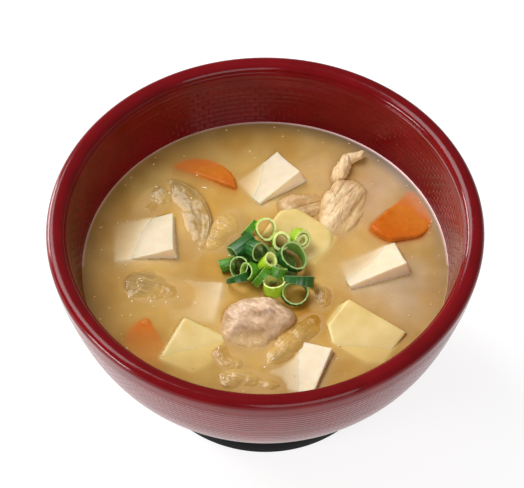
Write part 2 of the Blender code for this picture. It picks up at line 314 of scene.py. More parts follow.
def lacquer_look():
    """Glossy red over a woven ground: rows lie level round the bowl and faint joins stand across them."""
    look = Look("red_lacquer", 0.16, 0.24)
    blotches = look.noise(9 * MM, 2.0)
    look.colour(look.ramp(blotches, (0.3, LACQUER_DEEP), (0.7, LACQUER)))
    split = look.add("ShaderNodeSeparateXYZ")
    look.join(look.place, split.inputs[0])
    angle = look.math("ARCTAN2", split.outputs["Y"], split.outputs["X"])
    row = look.math("FLOOR", look.math("DIVIDE", split.outputs["Z"], ROW_PITCH))
    shifted = look.math("ADD", look.math("MULTIPLY", angle, JOIN_COUNT / math.tau), look.math("MULTIPLY", row, 0.5))
    along = look.math("ABSOLUTE", look.math("SUBTRACT", look.math("FRACT", shifted), 0.5))
    joins = look.ramp(along, (0.36, 1.0), (0.5, 0.0))
    walls = look.ramp(
        look.math("DIVIDE", split.outputs["Z"], BOWL_HEIGHT), (0.90, 1.0), (0.93, 0.0)
    )
    woven = look.math("MULTIPLY", joins, walls)
    worn = look.noise((4 * MM, 4 * MM, 0.7 * MM), 3.0)
    look.bump((woven, 0.06 * MM), (worn, 0.035 * MM))
    look.roughness(worn, 0.08, 0.17)
    return look.material


def foot_look():
    look = Look("black_foot", 0.3, 0.06)
    grain = look.noise((2 * MM, 2 * MM, 0.4 * MM), 3.0)
    look.colour(look.ramp(grain, (0.3, (0.001, 0.001, 0.0013)), (0.8, (0.003, 0.003, 0.0035))))
    look.bump((grain, 0.02 * MM))
    look.roughness(grain, 0.24, 0.4)
    return look.material


def soup_look():
    look = Look("cloudy_soup", 0.11, 0.4)
    specks = look.noise(0.55 * MM, 2.0)
    clouds = look.noise(6 * MM, 3.0)
    shade = look.ramp(clouds, (0.25, (0.93, 0.92, 0.9)), (0.75, (1.06, 1.05, 1.04)))
    fine = look.ramp(specks, (0.3, (0.97, 0.97, 0.96)), (0.75, (1.04, 1.04, 1.04)))
    tinted = look.mix(1.0, look.mix(1.0, tint_of(look), shade, "MULTIPLY"), fine, "MULTIPLY")
    look.colour(tinted)
    look.bump((clouds, 0.08 * MM), (specks, 0.012 * MM))
    look.roughness(specks, 0.08, 0.15)
    return look.material


# Film colours. The soup's film on tofu and potato is painted lighter than the soup itself: painted light on their
# shaded sides and at their waterlines. The pork's and the carrot's films stay close to the soup's and the carrot's own
# colours.
LIT_SOUP_FILM = (0.96, 0.72, 0.38)
PORK_FILM = (0.63, 0.40, 0.15)
CARROT_FILM = (0.66, 0.24, 0.03)


def food_look(name, stops, size, relief, roughness, detail=4.0, glow=None, specular=0.4, film_colour=LIT_SOUP_FILM):
    """Colours that follow one noise, a fine relief and uneven gloss."""
    look = Look(name, roughness, specular)
    broad = look.noise(size, detail)
    # the film attribute mixes in the film colour: clinging soup, and with the lit soup film also painted light
    film = look.add("ShaderNodeAttribute", attribute_name="FilmAndLight").outputs["Fac"]
    look.colour(look.mix(film, look.ramp(broad, *stops), film_colour))
    grain = look.noise(0.7 * MM, 4.0)
    look.bump((broad, relief), (grain, relief * 0.5))
    look.roughness(grain, roughness * 0.7, roughness * 1.3)
    if glow:
        look.glow_within(*glow)
    return look.material


def pork_look(name, dark, pale, turn):
    """Fine strings over flesh that is pale on its ridges and dark in its hollows, painted light and shade over tone
    that differs at random.
    """
    look = Look(name, 0.42, 0.4)
    # random tone, with painted light on ridges and painted shade in grooves
    tone = look.add("ShaderNodeAttribute", attribute_name="ToneAndShade").outputs["Fac"]
    film = look.add("ShaderNodeAttribute", attribute_name="FilmAndLight").outputs["Fac"]
    strings = look.noise((2.6 * MM, 0.34 * MM, 0.6 * MM), 4.0, turn)
    streaks = look.ramp(strings, (0.3, (0.78, 0.75, 0.72)), (0.7, (1.14, 1.13, 1.12)))
    flesh = look.mix(1.0, look.mix(tone, dark, pale), streaks, "MULTIPLY")
    look.colour(look.mix(film, flesh, PORK_FILM))
    grain = look.noise(0.3 * MM, 4.0, turn)
    look.bump((strings, 0.04 * MM), (grain, 0.02 * MM))
    look.roughness(grain, 0.28, 0.5)
    look.glow_within(0.3, 1.5 * MM)
    return look.material


def painted_look(name, roughness, relief, size, specular=0.5):
    look = Look(name, roughness, specular)
    grain = look.noise(size, 3.0)
    shade = look.ramp(grain, (0.3, (0.9, 0.9, 0.9)), (0.7, (1.07, 1.07, 1.07)))
    look.colour(look.mix(1.0, tint_of(look), shade, "MULTIPLY"))
    look.bump((grain, relief))
    look.roughness(grain, roughness * 0.7, roughness * 1.3)
    return look.material


# ---- the bowl


def curve(start, towards, back, end, steps):
    """Points of a cubic curve in the profile's plane, in metres, without the last one."""
    a, b, c, d = (np.array(p) * MM for p in (start, towards, back, end))
    t = np.linspace(0, 1, steps + 1)[:-1, None]
    points = a * (1 - t) ** 3 + 3 * b * t * (1 - t) ** 2 + 3 * c * t**2 * (1 - t) + d * t**3
    return [tuple(p) for p in points]


def turned(name, profile, steps):
    """A line drawn point by point beside the axis, then spun round it."""
    (r0, z0) = profile[0]
    bpy.ops.mesh.primitive_plane_add(size=MM, location=(0, 0, 0))
    piece = named(name)
    edit(piece)
    bpy.ops.mesh.merge(type="CENTER")
    bpy.ops.transform.translate(value=(r0, 0, z0))
    for (ra, za), (rb, zb) in zip(profile, profile[1:]):
        bpy.ops.mesh.extrude_vertices_move(TRANSFORM_OT_translate={"value": (rb - ra, 0, zb - za)})
    bpy.ops.mesh.select_all(action="SELECT")
    bpy.ops.mesh.spin(steps=steps, angle=math.tau, center=(0, 0, 0), axis=(0, 0, 1))
    bpy.ops.mesh.select_all(action="SELECT")
    bpy.ops.mesh.remove_doubles(threshold=0.002 * MM)
    bpy.ops.mesh.normals_make_consistent(inside=False)
    done()
    return piece


BOWL_STEPS = 224
ROW_DEPTH = 0.065 * MM
GROOVES = ((47.4, 0.13), (45.9, 0.10), (61.2, 0.10), (60.0, 0.08))  # height and depth, in millimetres


def rows(profile, way):
    """Presses level rows and a few deeper grooves into a wall, towards way (-1 in, 1 out)."""
    pressed = []
    for r, z in profile:
        depth = ROW_DEPTH * (0.5 - 0.5 * math.cos(math.tau * z / ROW_PITCH))
        for height, deep in GROOVES:
            depth += deep * MM * math.exp(-(((z / MM - height) / 0.22) ** 2))
        pressed.append((r + way * depth, z))
    return pressed


def inner_wall(shift=0.0):
    low = curve((0.0, 12.5), (24.0, 12.5), (38.5, 19.5), (49.3, 33.9), 14)
    high = curve((49.3, 33.9), (55.2, 42.7), (56.9, 55.0), (58.9, 64.9), 96)
    return [(r + (shift if r else 0.0), z - shift) for r, z in low + high]


def make_bowl():
    top, middle = BOWL_HEIGHT / MM, RIM_RADIUS - LIP_BEAD
    inside = inner_wall()
    inside = [p for p in inside if p[1] < 44 * MM] + rows([p for p in inside if p[1] >= 44 * MM], 1)
    ledge = [(58.9 * MM, 64.9 * MM), (59.0 * MM, 65.1 * MM), (59.4 * MM, 65.2 * MM), (59.55 * MM, 65.4 * MM)]
    crown = curve((59.6, 65.6), (59.9, top), (61.4, top), (middle / MM, top), 8)
    bead = []
    for k in range(12):
        angle = math.radians(90 - 105 * k / 11)
        bead.append((middle + LIP_BEAD * math.cos(angle), BOWL_HEIGHT - LIP_BEAD + LIP_BEAD * math.sin(angle)))
    blend = curve((64.95, 64.55), (64.8, 63.4), (64.4, 61.6), (64.3, 60.3), 6)[1:]
    high = curve((64.3, 60.3), (61.8, 50.6), (59.2, 39.0), (53.3, 30.9), 110)
    low = curve((53.3, 30.9), (48.6, 24.5), (40.6, 15.0), (34.6, 9.5), 100)
    foot = [(r * MM, z * MM) for r, z in ((34.6, 9.5), (34.75, 9.2), (36.3, 0.5), (36.15, 0.15), (35.8, 0))]
    under = [(r * MM, z * MM) for r, z in ((32.6, 0), (32.25, 0.15), (32.1, 0.5), (30.9, 6.6), (30.5, 7), (0, 7))]
    profile = inside + ledge + crown + bead + blend + rows(high + low, -1) + foot + under
    bowl = turned("lacquered_bowl", profile, BOWL_STEPS)
    smooth(bowl, 40)
    finish_piece(bowl, "lacquer", lacquer_look(), "bowl")
    bowl.data.materials.append(foot_look())
    for face in bowl.data.polygons:
        low_down = face.center.z < FOOT_HEIGHT - 0.1 * MM
        face.material_index = 1 if low_down else 0


# ---- squared and sliced pieces

# Size, centre and turn of each block, in millimetres and degrees.
TOFU = [
    ((16.2, 12.6, 14.6), (3.4, 32.0, 41.0), (-16, -13, 38)),
    ((18.4, 15.4, 14.4), (-34.5, 9.4, 40.1), (-9, -17, 4)),
    ((18.4, 11.6, 13.4), (33.9, -1.6, 41.2), (-20, -9, 21)),
    ((15.4, 17.0, 9.0), (10.7, -36.6, 42.2), (4, -11, -21)),
    ((15.0, 14.4, 14.0), (-19.3, -11.3, 37.55), (5, -14, -11)),
]
# Potato and carrot also list slices: a point as a share of the half size, and the way the cut faces.
POTATO = [
    (
        (15.0, 16.5, 12.0),
        (-21.6, -29.2, 40.8),
        (5, 5, -27),
        [((1.0, -0.6, 0.0), (0.8, -0.5, 0.2)), ((-0.9, -0.9, -0.9), (-0.7, -0.7, -0.8))],
    ),
    (
        (22.5, 15.5, 12.0),
        (28.4, -24.2, 41.3),
        (6, 3, -34),
        [
            ((-0.86, 0.0, 0.95), (-0.75, 0.0, 0.65)),
            ((-0.7, -0.75, 0.0), (-0.7, -0.7, 0.1)),
            ((0.75, -1.0, 0.0), (0.55, -0.8, 0.1)),
            ((-0.92, 0.8, 0.0), (-0.8, 0.6, 0.0)),
            ((0.9, 0.0, -0.7), (0.7, -0.2, -0.7)),
        ],
    ),
    (
        (20.0, 14.5, 12.0),
        (10.4, 11.8, 42.2),
        (4, 8, -33),
        [((-0.75, 1.0, 0.4), (-0.6, 0.6, 0.3)), ((0.75, 0.6, 1.0), (0.35, 0.25, 0.9))],
    ),
]
# Radius and thickness of each carrot disc, centre, turn and slices. The last one lies wholly in the soup.
CARROT = [
    ((12.6, 6.0), (-20.6, 29.0, 44.5), (-5, -4, -27.6), [((0.0, 0.34, 0.0), (0.05, -1.0, 0.1))]),
    (
        (10.8, 5.0),
        (40.5, 18.8, 44.7),
        (-6, 5, 0),
        [
            ((0.74, 0.22, 0.0), (0.93, 0.33, -0.35)),
            ((0.66, 0.44, 0.0), (0.84, 0.52, -0.35)),
            ((-0.30, 0.245, 0.0), (-0.77, 0.635, 0.15)),
            ((0.155, -0.86, 0.0), (0.175, -0.985, 0.0)),
        ],
    ),
    ((9.0, 4.0), (-33.0, -27.0, 43.6), (7, -9, 40), [((0.3, 0.0, 0.0), (1.0, -0.2, 0.0))]),
]


def slice_off(half, cuts):
    """Cuts of the knife: each takes away what lies beyond its plane and closes the cut."""
    for share, facing in cuts:
        point = [h * s * MM for h, s in zip(half, share)]
        bpy.ops.mesh.select_all(action="SELECT")
        bpy.ops.mesh.bisect(
            plane_co=point,
            plane_no=Vector(facing).normalized(),
            use_fill=True,
            clear_outer=True,
        )


def block(name, size, centre, turn, cuts, edge, wear, seed):
    bpy.ops.mesh.primitive_cube_add(size=1.0)
    piece = named(name)
    edit(piece)
    bpy.ops.transform.resize(value=[s * MM for s in size])
    slice_off([s / 2 for s in size], cuts)
    done()
    soften(piece, edge, wear, seed)
    lay_down(piece, pose(centre, turn))
    return piece


def disc(name, radius, thickness, centre, turn, cuts, edge, wear, seed):
    bpy.ops.mesh.primitive_cone_add(
        vertices=56, radius1=radius * MM, radius2=radius * 0.94 * MM, depth=thickness * MM
    )
    piece = named(name)
    edit(piece)
    slice_off((radius, radius, thickness / 2), cuts)
    done()
    soften(piece, edge, wear, seed)
    lay_down(piece, pose(centre, turn))
    return piece


def soften(piece, edge, wear, seed):
    """Rounds the edges over, then wears the faces a little uneven."""
    modify(
        piece,
        "BEVEL",
        width=edge * MM,
        segments=3,
        limit_method="ANGLE",
        angle_limit=math.radians(35),
    )
    modify(piece, "REMESH", mode="VOXEL", voxel_size=0.42 * MM)
    modify(piece, "SMOOTH", factor=0.5, iterations=3)
    rumple(piece, wear * MM, 5 * MM, seed)
    rumple(piece, wear * 0.4 * MM, 1.4 * MM, seed + 1)
    smooth(piece)


def tofu_block(name, size, centre, turn, seed):
    """Tofu keeps crisp edges, so it is not remeshed."""
    bpy.ops.mesh.primitive_cube_add(size=1.0)
    piece = named(name)
    edit(piece)
    bpy.ops.transform.resize(value=[s * MM for s in size])
    bpy.ops.mesh.subdivide(number_cuts=20)
    done()
    modify(
        piece,
        "BEVEL",
        width=0.3 * MM,
        segments=3,
        limit_method="ANGLE",
        angle_limit=math.radians(35),
    )
    rumple(piece, 0.5 * MM, 9 * MM, seed)
    rumple(piece, 0.08 * MM, 1.6 * MM, seed + 1)
    smooth(piece)
    lay_down(piece, pose(centre, turn))
    return piece


# ---- pork


def lump(name, reaches, height, rings=40, around=96, round_off=(0.75, 0.85)):
    """A flat lump about the origin. reaches are how far it goes each way round, in millimetres, starting
    along +X and turning towards +Y. The smaller round_off, the squarer its edge."""
    bpy.ops.mesh.primitive_uv_sphere_add(segments=around, ring_count=rings, radius=1.0)
    piece = named(name)
    co = points_of(piece)
    angle = np.arctan2(co[:, 1], co[:, 0]) % math.tau
    flat = np.hypot(co[:, 0], co[:, 1])
    ways = np.linspace(0, math.tau, len(reaches) + 1)
    reach = smooth_round(angle, ways, np.array(reaches + reaches[:1], float))
    out = flat ** round_off[0] * reach * MM
    up = np.sign(co[:, 2]) * np.abs(co[:, 2]) ** round_off[1] * height * MM
    set_points(piece, np.stack([out * np.cos(angle), out * np.sin(angle), up], 1))
    return piece


def smooth_round(angle, ways, values):
    """Values between the ways, eased so that the outline has no corners."""
    k = np.clip(np.searchsorted(ways, angle, "right") - 1, 0, len(ways) - 2)
    t = (angle - ways[k]) / (ways[k + 1] - ways[k])
    t = t * t * (3 - 2 * t)
    return values[k] * (1 - t) + values[k + 1] * t


def fibres(piece, folds, heading, seed):
    """Bundles and strings along heading. folds lists (width, depth) in millimetres."""
    co, no = points_of(piece), normals_of(piece)
    a = math.radians(heading)
    along = co[:, 0] * math.cos(a) + co[:, 1] * math.sin(a)
    across = -co[:, 0] * math.sin(a) + co[:, 1] * math.cos(a)
    local = np.stack([along, across, co[:, 2]], 1)
    out = np.zeros(len(co))
    for n, (width, depth) in enumerate(folds):
        value = noise_at(local, (width * 5 * MM, width * MM, width * 2 * MM), seed + n)
        out += depth * MM * np.minimum(2.4 * np.abs(value) - 0.5, 0.5)
    set_points(piece, co + no * out[:, None])


def press(piece, start, end, width, rise):
    """Raises a ridge from start to end, in millimetres on the piece as it lies at the origin, or sinks a
    groove where rise is negative. Tells how much each vertex is in it."""
    co = points_of(piece)
    a, b = np.array(start) * MM, np.array(end) * MM
    line = b - a
    t = np.clip(((co[:, :2] - a) @ line) / (line @ line), 0, 1)
    away = np.hypot(*(co[:, :2] - a - t[:, None] * line).T) / (width * MM)
    near = np.exp(-(away**2)) * np.sin(np.clip(t, 0.04, 0.96) * math.pi) ** 0.5
    co[:, 2] += np.sign(co[:, 2]) * rise * MM * near
    set_points(piece, co)
    return near


STRINGS = ((2.2, 0.16), (0.9, 0.14), (0.42, 0.10))
# painted light and shade on pork: ridges lighter, grooves darker
LIGHT_AND_SHADE_PER_RISE = 0.45  # how much paler a ridge is, and how much darker a groove, per millimetre


def meat(name, reaches, height, folds, heading, seed, centre, turn, forms=(), rings=44, around=110, tone=0.5):
    piece = lump(name, reaches, height, rings, around)
    rumple(piece, 0.9 * MM, 7 * MM, seed + 40)
    co = points_of(piece)
    tones_and_shade = tone + 0.5 * noise_at(co, (4 * MM, 2.5 * MM, 3 * MM), seed + 50) + 0.4 * noise_at(co, 1.1 * MM, seed)
    for start, end, width, rise in forms:
        near = press(piece, start, end, width, rise)
        # painted light on ridges and painted shade in grooves
        tones_and_shade += LIGHT_AND_SHADE_PER_RISE * near * rise
    fibres(piece, folds, heading, seed)
    store(piece, "ToneAndShade", np.clip(tones_and_shade, 0, 1))
    smooth(piece)
    lay_down(piece, pose(centre, turn))
    return piece


def make_pork(pale, dark):
    """Slices that have curled up: the first is a roll with a flap and a curled end, the second a fold."""
    roll = meat(
        "pork_slice_1", [12.0, 10, 7.4, 6.2, 6.2, 8, 11, 11.5, 10, 9, 9, 11], 3.9, STRINGS, 4, 11,
        (22.4, 21.4, 45.4), (18, -2, 60),
        [
            ((-9.5, 0.2), (3, -0.6), 1.6, 0.7),
            ((2.0, 3.4), (11, 3.4), 0.3, -0.6),
            ((3.2, 1.2), (9.6, -0.2), 0.26, -0.45),
            ((-10, 3.4), (-2, 4.4), 0.8, -0.7),
            ((-6, -3.2), (7, -3.4), 1.1, -0.6),
            ((-8, -5.6), (2, -6.0), 1.0, 0.4),
        ],
        70, 180, 0.7,
    )
    lobe = meat("pork_lobe", [7.5, 6, 4.5, 5, 7, 8.5, 8, 6.5, 4.8, 4.4, 5, 6.6], 2.4, STRINGS, 10, 13,
                (12.4, 22.2, 45.9), (4, 6, 20),
                [((-6, -1), (6, 0.6), 0.3, -0.5), ((-6, 1.6), (4, 2.4), 0.35, -0.4)], 40, 110, 0.3)
    knob = meat("pork_knob", [5.6, 3.4, 2.5, 2.3, 2.7, 3.9, 4.8, 3.2, 2.4, 2.3, 2.8, 4.2], 2.6,
                ((1.6, 0.3), (0.7, 0.16)), 15, 15, (23.2, 35.0, 47.4), (0, -16, 66), (), 30, 72, 0.9)
    tip = meat("pork_tip", [4.4, 2.2, 1.5, 1.5, 2.0, 3.2, 4.0, 2.2, 1.5, 1.5, 2.0, 3.2], 1.5,
               ((1.2, 0.25), (0.6, 0.14)), 15, 17, (26.9, 40.0, 48.2), (0, -10, 30), (), 24, 54, 0.9)
    joined([roll, lobe, knob, tip])
    fold = meat(
        "pork_slice_2", [13.0, 10.8, 10.0, 10, 9.6, 10, 11.4, 12.8, 12, 10.2, 8.4, 9.4], 5.0, STRINGS, 130, 21,
        (-3.2, -21.6, 44.9), (17, -7, 14),
        [
            ((-1, 7.2), (5, 3.2), 1.3, 0.9),
            ((4, 3.4), (11, 2.4), 1.4, 0.9),
            ((-10, -2), (-3, 2.6), 1.5, 0.9),
            ((-4, -2.4), (3, -4.6), 2.4, -1.1),
            ((-1.5, 3.4), (4, 0.5), 1.2, -0.6),
            ((6.8, 4.8), (10.2, -0.6), 0.4, -0.6),
            ((4.6, 5.0), (7.6, -1.0), 0.3, -0.5),
        ],
        80, 190, 0.55,
    )
    flap = meat("pork_flap_in_the_soup", [8, 7.5, 7, 7, 7.5, 8, 7.5, 6.5, 6, 6, 6.5, 7.5], 1.2, STRINGS, 20, 31,
                (15.4, 34.4, 44.5), (3, -1, 60), (), 24, 60)
    under = meat("pork_under_the_roll", [8, 7, 6, 6, 7, 8, 9, 8, 7, 6, 7, 8], 1.3, ((2.4, 0.6), (1.2, 0.3)), 5, 33,
                 (29.6, 22.0, 44.8), (5, 3, 60), (), 30, 80)
    joined([flap, under])
    for piece, look, nodes in ((roll, pale, ["pork_1"]), (fold, dark, ["pork_2"]), (flap, pale, [])):
        finish_piece(piece, "pork", look, *nodes)
    return [roll, fold, flap]


# ---- onion

# Each petal follows a line: four points it passes, how far it reaches to the left and to the right of it,
# how high the line stands above the soup at its start, middle and end, how far the left and the right side
# fall, how far the two ends dive, how the ribs run and how pale it is. All sizes in millimetres.
ONION = [
    (((17.8, -18.0), (12.4, -22.6), (6.4, -29.4), (-0.6, -36.6)), (4.6, 4.6), (0.0, 0.7, 0.4), (0.8, 1.1),
     (1.0, 0.5), "along", 1.0),
    (((-13.5, -39.4), (-7.0, -41.0), (0.0, -42.6), (7.0, -44.2)), (4.2, 4.8), (0.7, 0.3, -0.1), (0.9, 0.7),
     (0.2, 0.8), "along", 1.1),
    (((-13.6, -29.0), (-12.0, -32.6), (-9.4, -35.6), (-6.4, -38.2)), (4.4, 3.8), (0.3, 0.3, 0.0), (0.7, 0.7),
     (0.5, 0.6), "along", 1.0),
    (((-41.6, -6.0), (-36.0, -7.6), (-29.0, -9.6), (-21.5, -12.4)), (6.2, 5.6), (1.0, 0.5, -0.4), (0.9, 1.1),
     (0.1, 0.8), "along", 0.82),
    (((-29.5, 32.4), (-20.4, 25.4), (-17.4, 14.5), (-21.0, 2.0)), (1.2, 8.2), (0.7, 1.0, 0.0), (0.1, 1.4),
     (0.5, 1.0), "along", 0.80),
    (((-30.4, 28.4), (-33.2, 25.0), (-36.0, 21.5), (-39.0, 17.5)), (4.6, 4.8), (0.8, 0.1, -0.5), (0.6, 0.8),
     (0.0, 0.6), "along", 0.92),
    (((-17.6, 5.5), (-16.6, 11.0), (-14.0, 17.0), (-7.6, 22.0)), (1.8, 8.8), (0.3, 0.6, 0.1), (1.2, 1.0),
     (0.8, 0.8), "across", 1.12),
    (((16.6, -6.5), (17.0, -10.0), (16.4, -13.5), (14.8, -17.0)), (3.6, 3.6), (0.1, 0.3, 0.0), (0.7, 0.7),
     (0.6, 0.6), "along", 1.0),
]
ONION_CAST = np.array((0.95, 1.0, 1.25))  # what the flesh does to the soup's colour
CLEARS = 0.55 * MM  # height above the soup at which a petal shows its own colour in full
PETAL_THICKNESS = 0.9 * MM
RIB_PITCH = 0.7 * MM
RIB_HEIGHT = 0.016


def through(points, t):
    """Places along a smooth line that passes its four points at 0, 1/3, 2/3 and 1."""
    total = np.zeros((len(t), len(points[0])))
    ways = np.linspace(0, 1, len(points))
    for n, point in enumerate(points):
        share = np.ones(len(t))
        for m, way in enumerate(ways):
            if m != n:
                share *= (t - way) / (ways[n] - way)
        total += share[:, None] * np.array(point)
    return total


def make_petal(name, line, reach, heights, falls, dives, ribs, tone, seed):
    bpy.ops.mesh.primitive_grid_add(x_subdivisions=110, y_subdivisions=52, size=2.0)
    petal = named(name)
    co = points_of(petal)
    t, across = (co[:, 0] + 1) / 2, co[:, 1]
    middle = through(line, t)
    ahead = through(line, t + 0.01) - through(line, t - 0.01)
    ahead /= np.hypot(ahead[:, 0], ahead[:, 1])[:, None]
    left = np.stack([-ahead[:, 1], ahead[:, 0]], 1)
    narrower = (1 - np.abs(2 * t - 1) ** 3.2) ** 0.5 * 0.85 + 0.15
    side = np.where(across > 0, reach[0], reach[1]) * across * narrower
    fall = np.where(across > 0, falls[0], falls[1]) * np.abs(across) ** 1.8
    fall += dives[0] * np.clip(1 - 2 * t, 0, 1) ** 5 + dives[1] * np.clip(2 * t - 1, 0, 1) ** 5
    length = np.hypot(*(np.array(line[3]) - line[0]))
    run, beside = (side, t * length) if ribs == "along" else (t * length, side)
    wander = 0.9 * noise_at(np.column_stack([run, beside, 0 * run]), (3.0, 8.0, 1.0), seed + 5)
    rib = np.cos(math.tau * (run + wander) * MM / RIB_PITCH)
    height = through(tuple((h,) for h in heights), t)[:, 0]
    flat = middle + left * side[:, None]
    z = LEVEL / MM + height - fall + RIB_HEIGHT * rib
    co = np.column_stack([flat, z]) * MM
    co[:, 2] += 0.5 * MM * noise_at(co, 4.5 * MM, seed) + 0.10 * MM * noise_at(co, 1.2 * MM, seed + 20)
    set_points(petal, co)
    streaks = noise_at(np.column_stack([run, beside, 0 * run]), (0.5, 6.0, 1.0), seed + 60)
    # the soup's colour here, with its painted shade, painted patches of light and the painted brim highlight
    soup = soup_colour(co)
    clear = np.clip((co[:, 2] - LEVEL) / CLEARS, 0, 1)
    shade = 1 + clear * (tone - 1 + 0.28 * streaks + 0.05 * rib)
    paint(petal, soup * shade[:, None] * (1 + clear[:, None] * (ONION_CAST - 1)))
    modify(petal, "SOLIDIFY", thickness=PETAL_THICKNESS, offset=-1.0)
    smooth(petal, 60)
    return petal


def make_onions(look):
    petals = []
    for n, row in enumerate(ONION, 1):
        petal = make_petal(f"onion_petal_{n}", *row, 40 + n)
        finish_piece(petal, "onion", look, f"onion_{n}")
        petals.append(petal)
    return petals


# ---- the heap of spring onion

DARK = ((0.018, 0.115, 0.014), (0.20, 0.36, 0.06), (0.42, 0.58, 0.20))  # outside, inside, cut
MID = ((0.075, 0.26, 0.010), (0.36, 0.50, 0.08), (0.52, 0.66, 0.20))
LIGHT = ((0.34, 0.56, 0.015), (0.68, 0.72, 0.20), (0.80, 0.88, 0.30))

# Centre, outer radius, length, lean, heading, wall, colours and how many rings lie inside it.
RINGS = [
    ((0.1, 10.1, 51.7), 3.3, 3.0, 40, -70, 0.62, LIGHT, 0),
    ((4.7, 5.9, 51.2), 2.8, 4.0, 35, -80, 0.85, LIGHT, 0),
    ((10.4, 7.4, 50.2), 3.0, 4.5, 50, -60, 0.85, LIGHT, 1),
    ((-4.5, 11.0, 50.2), 3.0, 2.5, 70, 150, 0.5, MID, 0),
    ((-6.9, 4.2, 51.2), 2.5, 7.8, 85, 40, 0.55, DARK, 0),
    ((-2.4, 1.6, 52.2), 3.2, 3.5, 60, -50, 0.55, DARK, 0),
    ((-7.5, -2.8, 50.2), 3.1, 3.0, 45, -115, 0.45, DARK, 0),
    ((-11.4, -0.8, 48.4), 1.9, 4.4, 80, 10, 0.5, MID, 0),
    ((-8.1, -6.4, 49.0), 3.7, 2.0, 55, 108, 0.45, DARK, 0),
    ((-4.2, -4.7, 50.2), 2.8, 4.0, 60, 200, 0.5, MID, 0),
    ((0.8, -3.2, 52.7), 2.4, 4.0, 30, 0, 0.75, LIGHT, 0),
    ((-1.0, -6.9, 50.7), 3.2, 2.5, 67, 145, 0.5, MID, 0),
    ((2.6, -9.5, 49.6), 3.6, 4.0, 20, 90, 0.6, LIGHT, 0),
    ((8.0, -0.3, 51.2), 4.3, 3.5, 25, -20, 0.55, DARK, 0),
    ((3.5, -5.4, 51.2), 2.6, 3.5, 50, 60, 0.5, MID, 0),
    ((9.8, -7.6, 49.8), 4.4, 2.6, 54, 81, 0.5, DARK, 0),
    ((8.9, -11.9, 49.0), 3.9, 2.5, 20, -60, 0.5, DARK, 0),
]
RING_STEPS = 42
RIBS_ROUND = 14
SHEATH_GAP = 0.3  # millimetres between a ring and the one inside it


def ring_tube(radius, length, wall, colours, seed):
    """One hollow slice standing at the origin, dark outside and pale within, with its cut edges paler."""
    bpy.ops.mesh.primitive_cylinder_add(
        vertices=RING_STEPS, radius=(radius - wall / 2) * MM, depth=length * MM, end_fill_type="NOTHING"
    )
    tube = named("ring")
    edit(tube)
    bpy.ops.mesh.subdivide(number_cuts=1)
    done()
    modify(tube, "SOLIDIFY", thickness=wall * MM, offset=0.0)
    modify(
        tube,
        "BEVEL",
        width=0.1 * MM,
        segments=2,
        limit_method="ANGLE",
        angle_limit=math.radians(50),
    )
    co = points_of(tube)
    angle = np.arctan2(co[:, 1], co[:, 0])
    out = np.hypot(co[:, 0], co[:, 1]) / MM
    depth = np.clip((out - (radius - wall)) / wall, 0, 1)
    on_cut = (np.abs(co[:, 2]) / MM > length / 2 - 0.03) * 1.0
    outside, inside, cut = (np.array(c) for c in colours)
    shades = outside * depth[:, None] + inside * (1 - depth)[:, None]
    shades = shades * (1 - on_cut)[:, None] + cut * on_cut[:, None]
    shades *= (1.0 + 0.22 * noise_at(co, (1.2 * MM, 1.2 * MM, 4 * MM), seed))[:, None]
    paint(tube, shades)
    dent = 1 + 0.07 * np.cos(2 * angle + seed) + 0.035 * np.cos(3 * angle + 2 * seed)
    rib = 1 + 0.018 * depth * np.cos(RIBS_ROUND * angle)
    slant = 0.12 * math.sin(seed * 2.3) * co[:, 0] + 0.1 * math.cos(seed * 1.9) * co[:, 1]
    co[:, 0] *= dent * rib
    co[:, 1] *= dent * rib
    co[:, 2] += slant * np.sign(co[:, 2])
    set_points(tube, co)
    smooth(tube, 60)
    return tube


def make_heap(ring_look, core_look):
    tubes = []
    for n, (centre, radius, length, lean, heading, wall, colours, inner) in enumerate(RINGS):
        matrix = pose(centre, (0, lean, heading))
        for k in range(inner + 1):
            size = radius - k * (wall + SHEATH_GAP)
            if size < wall + 0.2:
                continue
            pale = tuple(tuple(c * 0.5 + p * 0.5 for c, p in zip(c3, LIGHT[2])) for c3 in colours)
            tube = ring_tube(size, length * (1 - 0.06 * k), wall, pale if k else colours, n + k * 0.5)
            lay_down(tube, matrix)
            tubes.append(tube)
    rings = joined(tubes)
    rings.name = rings.data.name = "spring_onion_rings"
    finish_piece(rings, "spring_onion", ring_look, "spring_onion")
    core = lump("heap_core", [9.5, 8, 7, 7, 8, 9, 9.5, 8, 7, 7, 8, 9], 3.0, 24, 60)
    rumple(core, 1.2 * MM, 3 * MM, 71)
    smooth(core)
    lay_down(core, pose((0.6, 0.0, 46.9)))
    finish_piece(core, "spring_onion", core_look)
    return [rings, core]


# ---- the soup

SOUP_STEPS = 500
SOUP_RINGS = 122
INTO_WALL = 0.25 * MM
SIGHT = Vector((0.0, 0.4466, -0.8947))  # the way someone at the near side looks down into the soup
SEES = 2.4 * MM  # depth at which the soup hides about two thirds of what lies in it
REACH = 9 * MM
# Ways of looking round the line of sight, and how much each counts. The wide ones give a glow.
SPREAD = (
    (0.0, 0.0, 0.2),
    (0.2, 0.0, 0.1),
    (-0.2, 0.0, 0.1),
    (0.0, 0.2, 0.1),
    (0.0, -0.2, 0.1),
    (0.8, 0.0, 0.08),
    (-0.8, 0.0, 0.08),
    (0.4, 0.7, 0.08),
    (-0.4, 0.7, 0.08),
    (0.0, -0.8, 0.08),
)
SOUP = np.array((0.63, 0.385, 0.104))
SOUP_AMBER = np.array((0.55, 0.29, 0.052))
# Painted shade near the wall: how much each colour is darkened to the left, and to the right and back, where a negative
# share makes the soup bluer.
LEFT_SHADE = np.array((0.42, 0.50, 0.58))
RIGHT_SHADE = np.array((0.25, 0.18, -0.2))


def brim_radius():
    wall = inner_wall()
    for (r0, z0), (r1, z1) in zip(wall, wall[1:]):
        if z0 <= LEVEL <= z1:
            return r0 + (r1 - r0) * (LEVEL - z0) / (z1 - z0)
